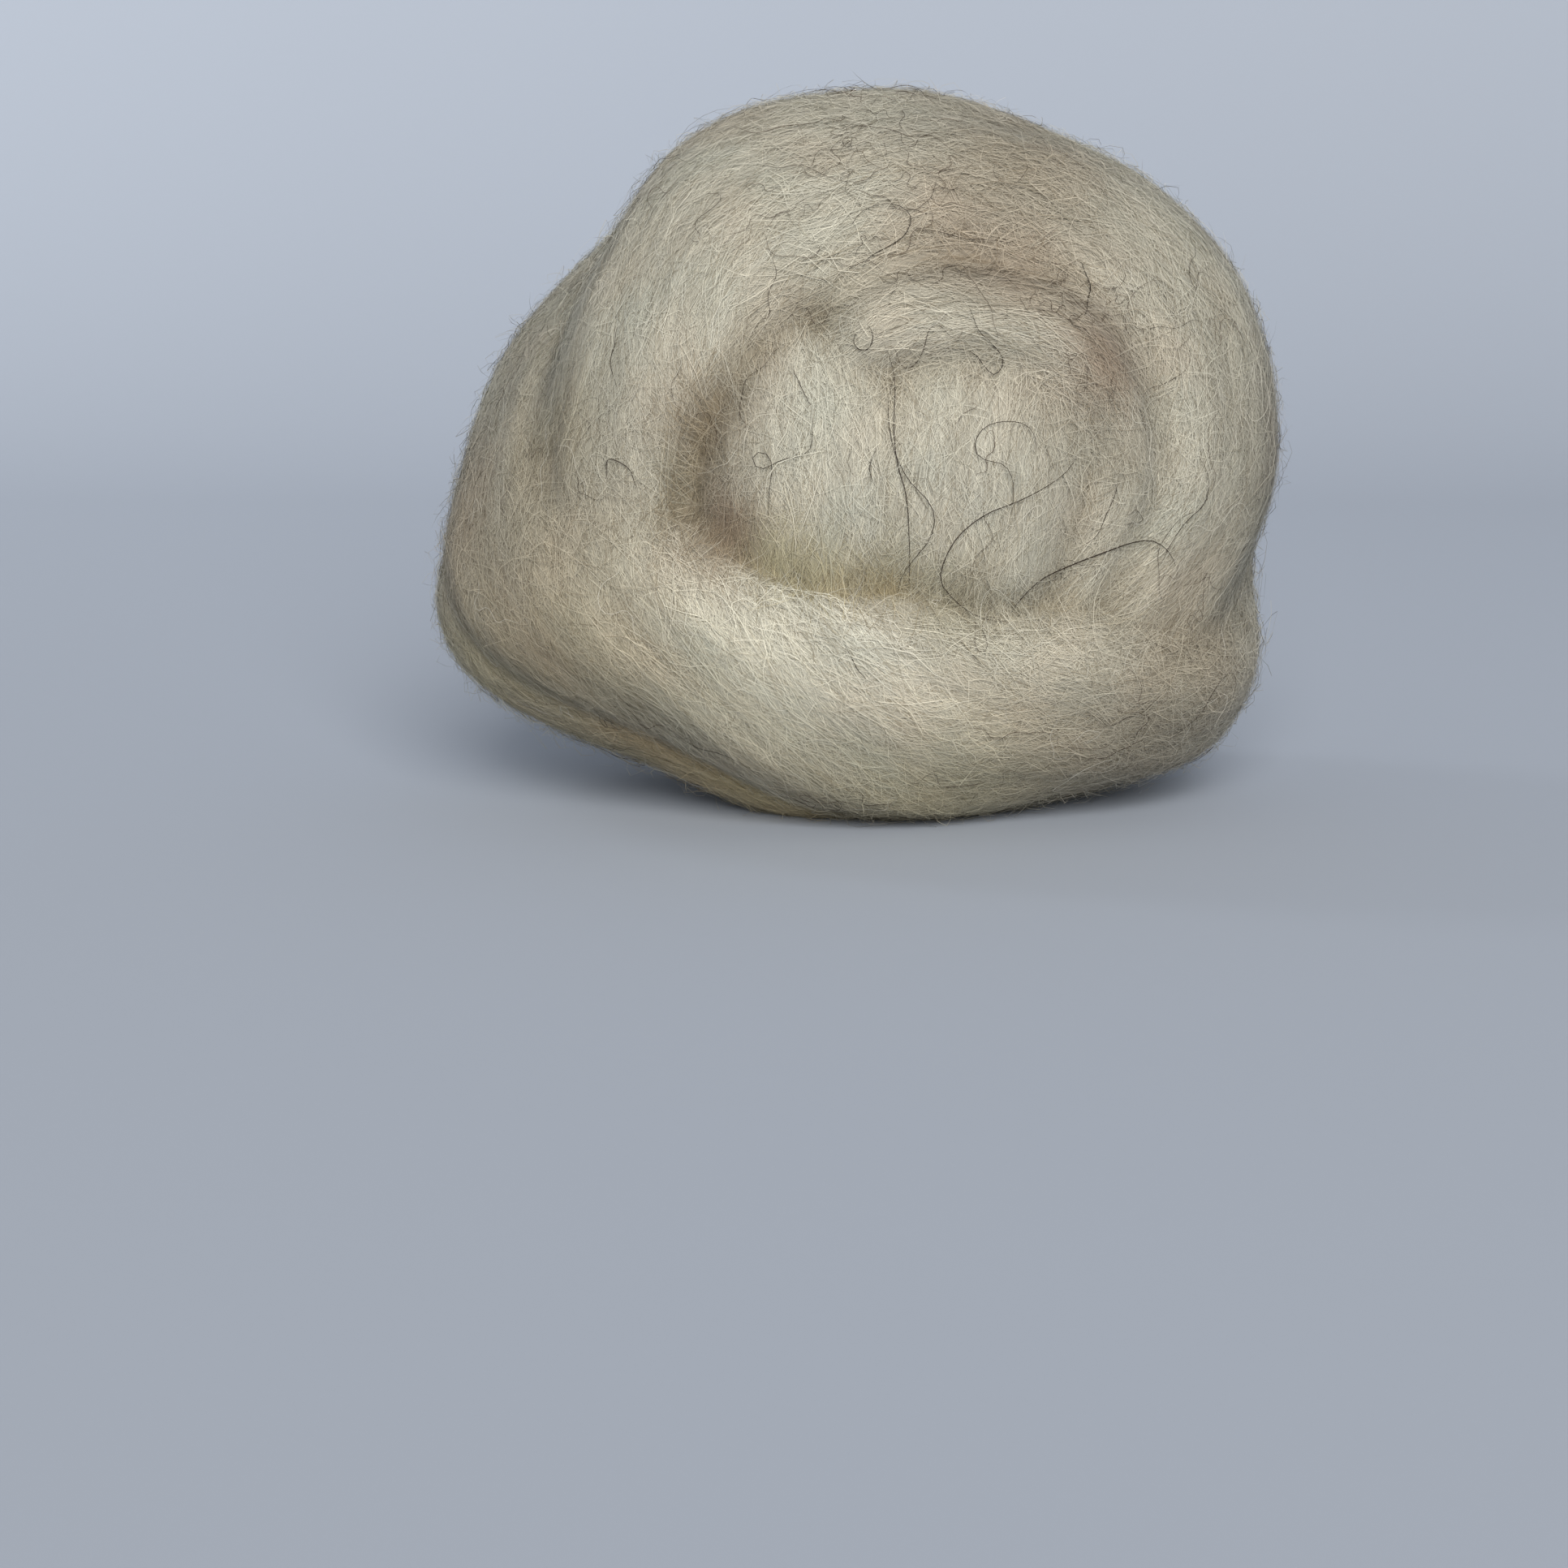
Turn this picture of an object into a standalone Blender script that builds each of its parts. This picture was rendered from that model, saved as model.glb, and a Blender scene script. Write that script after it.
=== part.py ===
"""A ball of wool roving, made as one solid from the turns of roving that wind round it.

Metres, +Z up. The ball stands on a small flat spot at z = 0, and -Y is its front, where the
turns open on the plug of roving inside. Sizes below are in millimetres and angles in degrees.

Each turn is a flattened rope that runs once round the ball. It starts as a torus primitive and
is bent over the ball's outline. The turns and the core are remeshed into one body.
"""

import math

import bpy
from mathutils import Vector, noise

MM = 0.001

# ---- the ball's outline -------------------------------------------------------------------
MIDDLE = Vector((0.35, -1.48, 40.3))  # stands the ball's flat spot at z = 0, under its centre
DEPTH_RADIUS = 44.0

# The outline seen from the front: the clock angle turns from +X towards +Z.
OUTLINE_COLUMNS = ("clock", "radius")
OUTLINE = [
    (0, 49.6),
    (30, 48.6),
    (60, 43.6),
    (90, 42.3),
    (120, 42.0),
    (145, 39.4),
    (180, 45.8),
    (205, 53.2),
    (235, 45.8),
    (270, 46.8),
    (300, 48.4),
    (325, 54.0),
    (343, 49.0),
]

# ---- the core -----------------------------------------------------------------------------
CORE_SINK = 5.0  # how far the core lies under the outline
RECESS_DEPTH = 11.0  # how much further it sinks behind the opening in front
RECESS_AXIS = Vector((0.02, -1.0, 0.0)).normalized()
RECESS_SPREAD = 34.0
CORE_SEGMENTS, CORE_RINGS = 64, 32

# ---- the turns ----------------------------------------------------------------------------
# A turn runs at its polar angle from its pole. Its clock starts on the side nearest +X and
# turns by the right hand round the pole, which starts from +Y for a turn round the X axis.
# crown is how far its middle stands over the outline, ridges how many run along it. A
# fullness under 1 squares the shoulders of its section, and one over 1 makes them slope.
TURN_COLUMNS = ("clock", "polar", "half_width", "crown")
TURNS = {
    "hood": {
        "pole": (0.0, -1.0, 0.0),
        "thickness": 8.0,
        "fullness": 0.9,
        "ridges": 10,
        "twist": 2,
        "stations": [
            (0, 70, 19.0, 0.3),
            (30, 73, 20.0, 0.6),
            (62, 71, 22.0, 0.6),
            (97, 62, 27.0, 0.6),
            (130, 57, 24.0, 0.8),
            (160, 47, 14.5, 0.8),
            (187, 44, 11.0, -0.6),
            (220, 40, 9.0, -6.0),
            (270, 42, 9.0, -8.0),
            (315, 52, 10.0, -5.0),
            (340, 63, 15.0, -0.6),
        ],
    },
    "lip": {
        "pole": (0.0, -1.0, 0.0),
        "thickness": 6.5,
        "fullness": 0.85,
        "ridges": 6,
        "twist": 2,
        "stations": [
            (0, 46, 6.5, -2.6),
            (30, 41, 8.0, -1.8),
            (60, 31, 8.5, -1.5),
            (90, 24, 6.5, -2.8),
            (120, 24, 5.0, -9.0),
            (180, 33, 6.0, -12.0),
            (230, 32, 6.0, -12.0),
            (290, 33, 7.0, -10.0),
            (335, 43, 6.5, -4.5),
        ],
    },
    "plug_left": {
        "pole": (1.0, 0.0, 0.06),
        "thickness": 9.0,
        "fullness": 1.1,
        "ridges": 4,
        "twist": 0,
        "stations": [
            (0, 110, 20.0, -2.8),
            (60, 108, 20.0, -2.4),
            (100, 103, 16.0, -4.0),
            (130, 98, 15.5, -10.5),
            (148, 98, 16.0, -6.8),
            (163, 97, 17.0, -3.6),
            (180, 97, 18.0, -2.8),
            (198, 97, 17.0, -3.5),
            (216, 98, 15.0, -7.5),
            (260, 100, 14.0, -6.0),
            (310, 108, 19.0, -3.4),
        ],
    },
    "plug_right": {
        "pole": (1.0, 0.0, -0.05),
        "thickness": 9.0,
        "fullness": 1.1,
        "ridges": 4,
        "twist": 0,
        "stations": [
            (0, 72, 20.0, -2.2),
            (60, 72, 20.0, -2.2),
            (100, 71, 17.0, -4.0),
            (130, 70, 18.0, -10.5),
            (149, 70, 19.5, -7.2),
            (163, 71, 21.5, -4.2),
            (180, 71, 22.5, -3.2),
            (197, 71, 22.0, -4.0),
            (215, 71, 18.0, -7.5),
            (260, 72, 16.0, -6.0),
            (310, 72, 19.0, -2.8),
        ],
    },
    "sash": {
        "pole": (0.19, -0.63, 0.755),
        "thickness": 8.0,
        "fullness": 0.85,
        "ridges": 10,
        "twist": -6,
        "stations": [
            (0, 103, 15.0, 0.2),
            (45, 96, 17.0, 0.0),
            (90, 90, 18.0, 0.2),
            (135, 90, 18.0, 0.0),
            (180, 91, 19.0, 0.2),
            (205, 90, 18.0, 0.6),
            (228, 89, 16.0, 1.4),
            (250, 90, 16.5, 2.0),
            (275, 91, 17.5, 2.2),
            (300, 92, 16.5, 1.8),
            (330, 98, 14.5, 0.8),
        ],
    },
    "foot": {
        "pole": (0.05, -0.30, 0.95),
        "thickness": 8.0,
        "fullness": 0.85,
        "ridges": 8,
        "twist": 2,
        "stations": [
            (0, 120, 16.0, -0.8),
            (90, 112, 17.0, -0.4),
            (180, 116, 17.0, -0.2),
            (270, 130, 14.0, -0.6),
        ],
    },
    "back_sash": {
        "pole": (0.62, 0.30, 0.72),
        "thickness": 7.5,
        "fullness": 0.85,
        "ridges": 10,
        "twist": 4,
        "stations": [
            (0, 92, 15.0, -1.6),
            (60, 90, 16.0, 0.6),
            (110, 88, 16.0, 0.8),
            (160, 90, 15.0, -0.8),
            (220, 92, 11.0, -8.0),
            (290, 92, 11.0, -9.0),
        ],
    },
}
TURN_SEGMENTS, TURN_SIDES = 72, 28
RIDGE_HEIGHT = 0.5  # of the ridges that run along a turn and twist round it

# ---- the wool's softness ------------------------------------------------------------------
SWELL_HEIGHT, SWELL_SIZE = 0.9, 17.0  # slow unevenness of the winding
VOXEL = 1.0
SMOOTH_ROUNDS = 7
TRIANGLES = 11000
WOOL_COLOUR = (0.50, 0.45, 0.36, 1.0)
WOOL_ROUGHNESS = 0.9


def clear_scene():
    for obj in list(bpy.data.objects):
        bpy.data.objects.remove(obj)


def wool_material():
    material = bpy.data.materials.new("wool")
    material.use_nodes = True
    shader = material.node_tree.nodes["Principled BSDF"]
    shader.inputs["Base Color"].default_value = WOOL_COLOUR
    shader.inputs["Roughness"].default_value = WOOL_ROUGHNESS
    shader.inputs["Metallic"].default_value = 0.0
    return material


def around(rows, columns, name, clock):
    """The named column's value at a clock angle, on a smooth closed curve through the rows."""
    column = columns.index(name)
    count = len(rows)
    clock %= 360
    after = next((i for i, row in enumerate(rows) if row[0] > clock), count)

    def at(index):
        turns, place = divmod(index, count)
        return rows[place][0] + 360 * turns, rows[place][column]

    (a0, v0), (a1, v1), (a2, v2), (a3, v3) = (at(after + step) for step in (-2, -1, 0, 1))
    if a1 > clock:
        clock += 360
    span = a2 - a1
    slope1 = (v2 - v0) / (a2 - a0) * span
    slope2 = (v3 - v1) / (a3 - a1) * span
    t = (clock - a1) / span
    return (
        v1 * (2 * t**3 - 3 * t**2 + 1)
        + slope1 * (t**3 - 2 * t**2 + t)
        + v2 * (3 * t**2 - 2 * t**3)
        + slope2 * (t**3 - t**2)
    )


def outline_radius(direction):
    """How far the ball's outline lies from its middle, in millimetres."""
    across = math.hypot(direction.x, direction.z)
    clock = math.degrees(math.atan2(direction.z, direction.x))
    side = around(OUTLINE, OUTLINE_COLUMNS, "radius", clock)
    return 1 / math.sqrt((across / side) ** 2 + (direction.y / DEPTH_RADIUS) ** 2)


def swell(direction):
    """The winding's slow unevenness in this direction, in millimetres."""
    return SWELL_HEIGHT * noise.noise(direction * (DEPTH_RADIUS / SWELL_SIZE))


def bend(obj, place):
    """Moves each of the object's points to place(point)."""
    for vertex in obj.data.vertices:
        vertex.co = place(vertex.co.copy())


def make_core():
    bpy.ops.mesh.primitive_uv_sphere_add(segments=CORE_SEGMENTS, ring_count=CORE_RINGS)
    core = bpy.context.object

    def place(point):
        direction = point.normalized()
        from_recess = math.degrees(direction.angle(RECESS_AXIS))
        recess = RECESS_DEPTH * math.exp(-((from_recess / RECESS_SPREAD) ** 2))
        return direction * (outline_radius(direction) - CORE_SINK - recess) * MM

    bend(core, place)
    return core


def make_turn(pole, thickness, fullness, ridges, twist, stations):
    """A flattened rope once round the ball, bent from a torus."""
    bpy.ops.mesh.primitive_torus_add(
        major_segments=TURN_SEGMENTS,
        minor_segments=TURN_SIDES,
        major_radius=1.0,
        minor_radius=0.25,
    )
    turn = bpy.context.object
    pole = Vector(pole).normalized()
    nearest = Vector((0, 1, 0) if abs(pole.x) > 0.9 else (1, 0, 0))
    start = (nearest - pole * nearest.dot(pole)).normalized()
    side = pole.cross(start)

    def place(point):
        clock = math.degrees(math.atan2(point.y, point.x))
        section = math.atan2(point.z, math.hypot(point.x, point.y) - 1)
        polar, half_width, crown = (
            around(stations, TURN_COLUMNS, name, clock) for name in TURN_COLUMNS[1:]
        )
        lateral, rise = math.sin(section), math.cos(section)
        lateral = math.copysign(abs(lateral) ** fullness, lateral)
        angle = math.radians(polar) + half_width * lateral / DEPTH_RADIUS
        turned = math.radians(clock)
        ring = start * math.cos(turned) + side * math.sin(turned)
        direction = pole * math.cos(angle) + ring * math.sin(angle)
        ridge = RIDGE_HEIGHT * math.cos(ridges * section + twist * turned)
        height = crown - thickness + (thickness + ridge) * rise
        return direction * (outline_radius(direction) + height + swell(direction)) * MM

    bend(turn, place)
    return turn


def join(objects, name):
    with bpy.context.temp_override(
        active_object=objects[0], object=objects[0], selected_editable_objects=objects
    ):
        bpy.ops.object.join()
    objects[0].name = name
    objects[0].data.name = name
    return objects[0]


def as_body(obj):
    """Makes the overlapping turns one soft body, with about TRIANGLES faces."""
    remesh = obj.modifiers.new("one_body", "REMESH")
    remesh.mode = "VOXEL"
    remesh.voxel_size = VOXEL * MM
    smooth = obj.modifiers.new("soften", "SMOOTH")
    smooth.factor = 0.5
    smooth.iterations = SMOOTH_ROUNDS
    graph = bpy.context.evaluated_depsgraph_get()
    fine = obj.evaluated_get(graph).to_mesh()
    fine.calc_loop_triangles()
    faces = len(fine.loop_triangles)
    obj.evaluated_get(graph).to_mesh_clear()
    lighten = obj.modifiers.new("lighten", "DECIMATE")
    lighten.ratio = TRIANGLES / faces


def settle(obj, collection):
    """Stands the ball on z = 0 and cuts the flat spot that it rests on."""
    obj.location = MIDDLE * MM
    bpy.ops.mesh.primitive_cube_add(size=2 * DEPTH_RADIUS * MM)
    cutter = bpy.context.object
    cutter.name = "floor_cutter"
    cutter.scale = (2, 2, 1)
    cutter.location = (0, 0, -DEPTH_RADIUS * MM)
    cutter.hide_render = True
    cutter.display_type = "WIRE"
    move_to(cutter, collection)
    flat = obj.modifiers.new("flat_spot", "BOOLEAN")
    flat.operation = "DIFFERENCE"
    flat.object = cutter


def move_to(obj, collection):
    for other in list(obj.users_collection):
        other.objects.unlink(obj)
    collection.objects.link(obj)


def new_collection(name):
    collection = bpy.data.collections.new(name)
    bpy.context.scene.collection.children.link(collection)
    return collection


def main():
    clear_scene()
    parts = new_collection("wool_roving")
    cutters = new_collection("cutters")
    turns = [make_turn(**turn) for turn in TURNS.values()]
    ball = join([make_core(), *turns], "roving_ball")
    ball.data.materials.append(wool_material())
    move_to(ball, parts)
    as_body(ball)
    settle(ball, cutters)


main()
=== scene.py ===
"""The looks of a ball of wool roving: its soft body, the carded fibres that lie over it, the
short curly ones that cross them, the fuzz that stands off it and the guard hairs, on a plain
pale floor in soft light.

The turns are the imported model's, in the same frame and at the same sizes, in millimetres and
degrees. Their ridges are lower here and some of the creases between them are softer, as loose
fibres make them.
"""

import math

import bpy
import numpy as np
from mathutils import Matrix, Vector, noise
from mathutils.bvhtree import BVHTree


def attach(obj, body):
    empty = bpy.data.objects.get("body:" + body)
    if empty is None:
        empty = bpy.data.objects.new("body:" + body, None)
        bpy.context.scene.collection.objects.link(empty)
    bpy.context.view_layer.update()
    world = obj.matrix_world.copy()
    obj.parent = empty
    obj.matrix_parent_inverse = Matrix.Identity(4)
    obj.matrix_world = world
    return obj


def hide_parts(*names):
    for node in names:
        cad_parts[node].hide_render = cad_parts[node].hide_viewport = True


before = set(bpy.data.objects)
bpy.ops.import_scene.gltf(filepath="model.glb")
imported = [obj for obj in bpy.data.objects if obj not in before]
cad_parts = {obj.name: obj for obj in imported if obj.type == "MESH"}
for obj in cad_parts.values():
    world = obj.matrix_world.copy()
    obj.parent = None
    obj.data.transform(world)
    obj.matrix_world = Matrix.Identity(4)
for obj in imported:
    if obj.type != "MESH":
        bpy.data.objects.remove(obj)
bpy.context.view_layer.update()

MM = 0.001
RNG = np.random.default_rng(28)

# ---- the ball's turns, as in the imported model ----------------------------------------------
MIDDLE = np.array((0.35, -1.48, 40.3))  # where the ball's middle stands over its flat spot
DEPTH_RADIUS = 44.0
OUTLINE = [  # (clock, radius)
    (0, 49.6), (30, 48.6), (60, 43.6), (90, 42.3), (120, 42.0), (145, 39.4), (180, 45.8),
    (205, 53.2), (235, 45.8), (270, 46.8), (300, 48.4), (325, 54.0), (343, 49.0),
]
CORE_SINK = 5.0
RECESS_DEPTH, RECESS_SPREAD = 11.0, 34.0
RECESS_AXIS = np.array((0.02, -1.0, 0.0))
RIDGE_HEIGHT = 0.22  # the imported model's are higher
SWELL_HEIGHT, SWELL_SIZE = 0.9, 17.0
BESIDE = -99.0  # a turn's height where the turn isn't

# Each turn's stations are (clock, polar, half_width, crown). Its lay is how its fibres run:
# (clock, slant off the turn's own line, spread round that), all three in degrees. The strands
# are measured along the turn from its seam, a clock where it lies behind or under another turn.
TURNS = {
    "hood": {
        "pole": (0.0, -1.0, 0.0), "thickness": 8.0, "fullness": 0.9, "ridges": 10, "twist": 2,
        "seam": 270,
        "stations": [
            (0, 70, 19.0, 0.3), (30, 73, 20.0, 0.6), (62, 71, 22.0, 0.6), (97, 62, 27.0, 0.6),
            (130, 57, 24.0, 0.8), (160, 47, 14.5, 0.8), (187, 44, 11.0, -0.6),
            (220, 40, 9.0, -6.0), (270, 42, 9.0, -8.0), (315, 52, 10.0, -5.0),
            (340, 63, 15.0, -0.6),
        ],
        "lay": [(0, 0, 9), (40, 4, 18), (75, 10, 30), (105, 6, 22), (135, -4, 11), (170, 2, 9),
                (260, 0, 10)],
    },
    "lip": {
        "pole": (0.0, -1.0, 0.0), "thickness": 6.5, "fullness": 0.85, "ridges": 6, "twist": 2,
        "seam": 230,
        "stations": [
            (0, 46, 6.5, -2.6), (30, 41, 8.0, -1.8), (60, 31, 8.5, -1.5), (90, 24, 6.5, -2.8),
            (120, 24, 5.0, -9.0), (180, 33, 6.0, -12.0), (230, 32, 6.0, -12.0),
            (290, 33, 7.0, -10.0), (335, 43, 6.5, -4.5),
        ],
        "lay": [(0, 0, 12), (60, 0, 16), (100, 0, 20), (240, 0, 15)],
    },
    "plug_left": {
        "pole": (1.0, 0.0, 0.06), "thickness": 9.0, "fullness": 1.1, "ridges": 4, "twist": 0,
        "seam": 125,
        "stations": [
            (0, 110, 20.0, -2.8), (60, 108, 20.0, -2.4), (100, 103, 16.0, -4.0),
            (130, 98, 15.5, -10.5), (148, 98, 16.0, -6.8), (163, 97, 17.0, -3.6),
            (180, 97, 18.0, -2.8), (198, 97, 17.0, -3.5), (216, 98, 15.0, -7.5),
            (260, 100, 14.0, -6.0), (310, 108, 19.0, -3.4),
        ],
        "lay": [(0, 0, 12), (120, 0, 10), (180, 0, 8), (210, 0, 12), (270, 0, 12)],
    },
    "plug_right": {
        "pole": (1.0, 0.0, -0.05), "thickness": 9.0, "fullness": 1.1, "ridges": 4, "twist": 0,
        "seam": 125,
        "stations": [
            (0, 72, 20.0, -2.2), (60, 72, 20.0, -2.2), (100, 71, 17.0, -4.0),
            (130, 70, 18.0, -10.5), (149, 70, 19.5, -7.2), (163, 71, 21.5, -4.2),
            (180, 71, 22.5, -3.2), (197, 71, 22.0, -4.0), (215, 71, 18.0, -7.5),
            (260, 72, 16.0, -6.0), (310, 72, 19.0, -2.8),
        ],
        "lay": [(0, 0, 12), (120, 0, 10), (175, 3, 10), (200, 16, 18), (270, 0, 12)],
    },
    "sash": {
        "pole": (0.19, -0.63, 0.755), "thickness": 8.0, "fullness": 0.85, "ridges": 10,
        "twist": -6,
        "seam": 90,
        "stations": [
            (0, 103, 15.0, 0.2), (45, 96, 17.0, 0.0), (90, 90, 18.0, 0.2), (135, 90, 18.0, 0.0),
            (180, 91, 19.0, 0.2), (205, 90, 18.0, 0.6), (228, 89, 16.0, 1.4),
            (250, 90, 16.5, 2.0), (275, 91, 17.5, 2.2), (300, 92, 16.5, 1.8),
            (330, 98, 14.5, 0.8),
        ],
        "lay": [(0, 0, 20), (90, 0, 14), (180, 10, 12), (212, 27, 10), (245, 33, 9),
                (270, 25, 12), (295, 10, 24), (325, 2, 30)],
    },
    "foot": {
        "pole": (0.05, -0.30, 0.95), "thickness": 8.0, "fullness": 0.85, "ridges": 8, "twist": 2,
        "seam": 90,
        "stations": [
            (0, 120, 16.0, -0.8), (90, 112, 17.0, -0.4), (180, 116, 17.0, -0.2),
            (270, 130, 14.0, -0.6),
        ],
        "lay": [(0, 0, 15), (120, 6, 12), (240, 0, 12)],
    },
    "back_sash": {
        "pole": (0.62, 0.30, 0.72), "thickness": 7.5, "fullness": 0.85, "ridges": 10, "twist": 4,
        "seam": 255,
        "stations": [
            (0, 92, 15.0, -1.6), (60, 90, 16.0, 0.6), (110, 88, 16.0, 0.8),
            (160, 90, 15.0, -0.8), (220, 92, 11.0, -8.0), (290, 92, 11.0, -9.0),
        ],
        "lay": [(0, 0, 12), (120, -8, 12), (240, 0, 12)],
    },
    "core": {  # what shows of the inside between the turns
        "pole": (1.0, 0.0, 0.0), "thickness": 0.0, "fullness": 1.0, "ridges": 0, "twist": 0,
        "seam": 90,
        "stations": [(0, 90, 400.0, 0.0), (120, 90, 400.0, 0.0), (240, 90, 400.0, 0.0)],
        "lay": [(0, 25, 40), (120, 25, 40), (240, 25, 40)],
    },
}
NAMES = list(TURNS)

# ---- the wool ------------------------------------------------------------------------------
# sRGB colours, lit evenly. The gains below are as they look on the screen.
WOOL_COLOUR = (190, 186, 170)
HAIR_COLOUR = (52, 43, 35)
PALE_HAIR_COLOUR = (226, 221, 205)
# the core shows in the gaps between the turns: its darker tone is painted shade there
TURN_PAINTED_SHADES = {"core": (0.76, 0.71, 0.64)}
SCREEN_GAMMA = 2.2
# Patches of gain: (azimuth to the right, elevation, spread, gain, turns), in degrees from the
# front, seen from the ball's middle. Some are the wool's own browner, yellower and paler locks.
# Others are painted shade, darker in the hollow, in the creases, under the lip, where the dome
# meets the sash, low at the front and towards the sides, and some are painted light, paler and
# warmer low on the left and on the foot.
ALL = ""
DOME = "plug_left plug_right"
TONE_AND_SHADING_PATCHES = [
    (17, 40, 12, (0.91, 0.88, 0.86), ALL),
    (31, 31, 12, (0.92, 0.89, 0.87), ALL),
    (40, 14, 7, (0.85, 0.81, 0.78), ALL),
    (41, 2, 6, (0.88, 0.86, 0.84), ALL),
    (-25, 5, 7, (0.93, 0.89, 0.85), ALL),
    (-20, -7, 6, (0.76, 0.70, 0.66), ALL),
    (-23, 13, 5, (0.90, 0.88, 0.86), ALL),
    (-17, 22, 5, (0.92, 0.90, 0.88), ALL),
    (-8, 27, 4, (0.80, 0.77, 0.74), ALL),
    (-12, -12, 7, (0.91, 0.88, 0.79), DOME),
    (-4, -16, 6, (0.91, 0.88, 0.80), DOME),
    (5, -17, 6, (0.90, 0.87, 0.79), DOME),
    (16, -17, 7, (0.86, 0.84, 0.80), ALL),
    (-43, 8, 16, (0.88, 0.88, 0.88), ALL),
    (-45, -25, 18, (0.985, 0.955, 0.90), ALL),
    (-50, 6, 9, (0.985, 0.965, 0.92), ALL),
    (45, 52, 16, (0.88, 0.86, 0.84), ALL),
    (-68, -8, 22, (0.90, 0.88, 0.86), ALL),
    (55, -30, 17, (0.89, 0.86, 0.83), ALL),
    (-82, 28, 22, (0.88, 0.88, 0.87), ALL),
    (-14, -26, 16, (1.10, 1.115, 1.13), ALL),
    (6, -31, 13, (1.04, 1.05, 1.07), ALL),
    (70, 0, 13, (0.85, 0.84, 0.83), ALL),
    (16, -1, 9, (0.96, 0.96, 0.96), DOME),
    (40, 18, 6, (0.89, 0.85, 0.83), ALL),
    (-20, -40, 17, (1.0, 0.985, 0.96), ALL),
    (15, -47, 20, (1.0, 0.99, 0.97), ALL),
    (-46, -46, 16, (1.03, 0.99, 0.92), "foot"),
    (-18, -50, 18, (1.12, 1.08, 0.97), "foot"),
    (18, -56, 20, (0.97, 0.95, 0.89), ALL),
    (-74, -30, 14, (1.09, 1.07, 1.00), ALL),
]
TONE_DRIFT = 0.07
HUE_DRIFT = np.array((-0.03, 0.012, 0.034))  # from pinkish beige to greenish grey
# Some locks are paler and some browner: by how much, the share of it that each colour takes,
# and the locks as (length, width, noise seed).
LOCK_DRIFT, LOCK_TINT = 0.115, np.array((0.9, 1.0, 1.15))
TINTED_LOCKS = [(30, 3.4, 21.0), (16, 1.1, 33.0)]
# Painted crease shade: the wool is darker and browner, by up to CREASE_SHADE_GAIN, where it lies
# CREASE_DEPTH under what is CREASE_REACH off.
CREASE_REACH, CREASE_DEPTH = 5.0, 2.6
CREASE_SHADE_GAIN = (0.86, 0.83, 0.78)
# Creases that fibres bridge, so that they are softer: (azimuth, elevation, spread, share).
FILLS = [(20, 37, 20, 1.0), (38, 20, 15, 0.9), (43, 4, 14, 0.7), (-50, 10, 18, 0.9)]
FILL_SMOOTHING = 230  # passes that smooth the dips away
BODY_VOXEL, BODY_SMOOTHING = 0.88, 7
LOCK_RELIEF = 0.14  # how far the locks of fibre stand over the grooves between them
RAISED_LOCKS = [(1.0, 24, 2.4, 0.0), (0.5, 12, 1.2, 9.0)]  # (share, length, width, noise seed)
# The fine streaks in the body's material: (scale along, scale across, detail) in the strand map.
STREAKS = [(0.10, 2.6, 2.0), (0.22, 9.0, 1.0)]
STREAK_RANGE, STREAK_SHADES, STREAK_RELIEF = (0.72, 1.28), (0.54, 0.92), 0.2
# In the strand map: how far apart the turns lie, and a jump along one that only its seam makes.
TURN_SHIFT, SEAM_JUMP = 500, 20
BODY_GAP, FIBRE_GAP = 0.05, 0.12  # the least height over the floor
FIBRE_PIECES, FIBRES_A_PIECE = 3, 26000
FIBRE_POINTS, FIBRE_LENGTH, FIBRE_RADIUS = 5, 8.0, 0.026
FIBRE_ROUNDNESS = 0.3  # how much of its own round a fibre shows in its shading
FRIZZ_COUNT, FRIZZ_POINTS, FRIZZ_RADIUS = 15000, 7, 0.019
FRIZZ_HOLLOW = (-24, 1, 10)  # where more of it gathers: azimuth, elevation and spread
FUZZ_COUNT, FUZZ_POINTS, FUZZ_RADIUS = 33000, 5, 0.020
FUZZ_SHAPE, FUZZ_SCALE, FUZZ_TOP = 1.3, 0.42, 2.5  # the gamma law of its heights, and its limit
HAIR_POINTS = 24
HAIR_LIFT, CLEAR_HAIR_LIFT = 0.58, 0.12  # over the skin, and how much more for HAIRS
DARK_HAIR_RADII, PALE_HAIR_RADII = (0.021, 0.035), (0.016, 0.026)
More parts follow.
